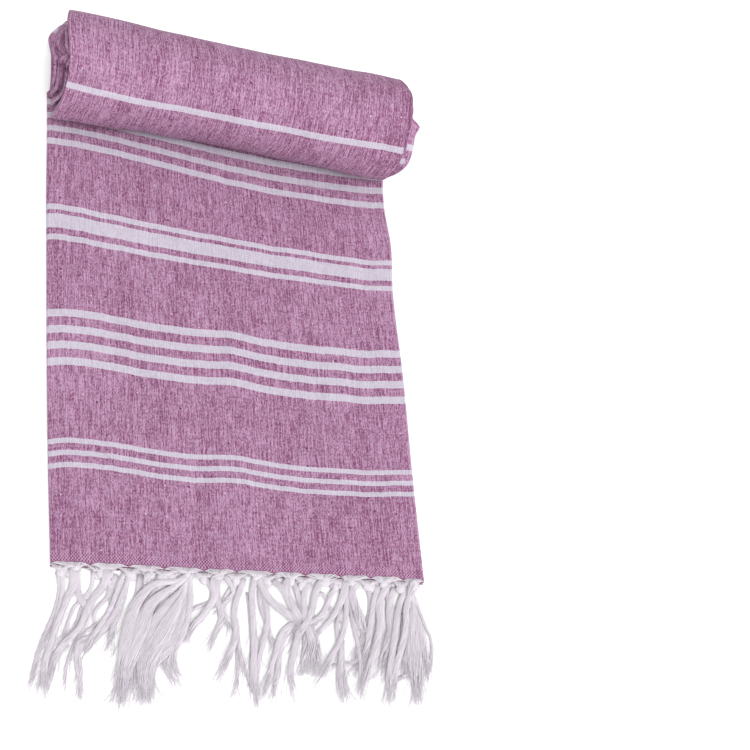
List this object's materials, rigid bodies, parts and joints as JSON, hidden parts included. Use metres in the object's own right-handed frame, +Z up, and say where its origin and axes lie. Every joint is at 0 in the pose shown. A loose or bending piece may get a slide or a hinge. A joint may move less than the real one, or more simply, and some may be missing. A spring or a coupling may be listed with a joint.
{
  "type": "hammam towel",
  "caption": "Flat-woven striped cotton towel, folded lengthwise and rolled up, with its fringed end laid out flat.",
  "frame": {"origin": "bottom centre of the bounding box of the whole towel, on the surface that it lies on", "axes": "+Z up; +Y along the laid-out part, from the fringe towards the roll; +X to the right as seen from the fringe"},
  "size_m": [0.2934, 0.5776, 0.0786],
  "materials": {
    "cloth": "matt plain-woven cotton, heathered mauve with white weft stripes",
    "fringe": "matt twisted cotton yarn, off-white"
  },
  "bodies": {
    "root": {"towel": "cloth", "fringe": "fringe"}
  },
  "joints": []
}
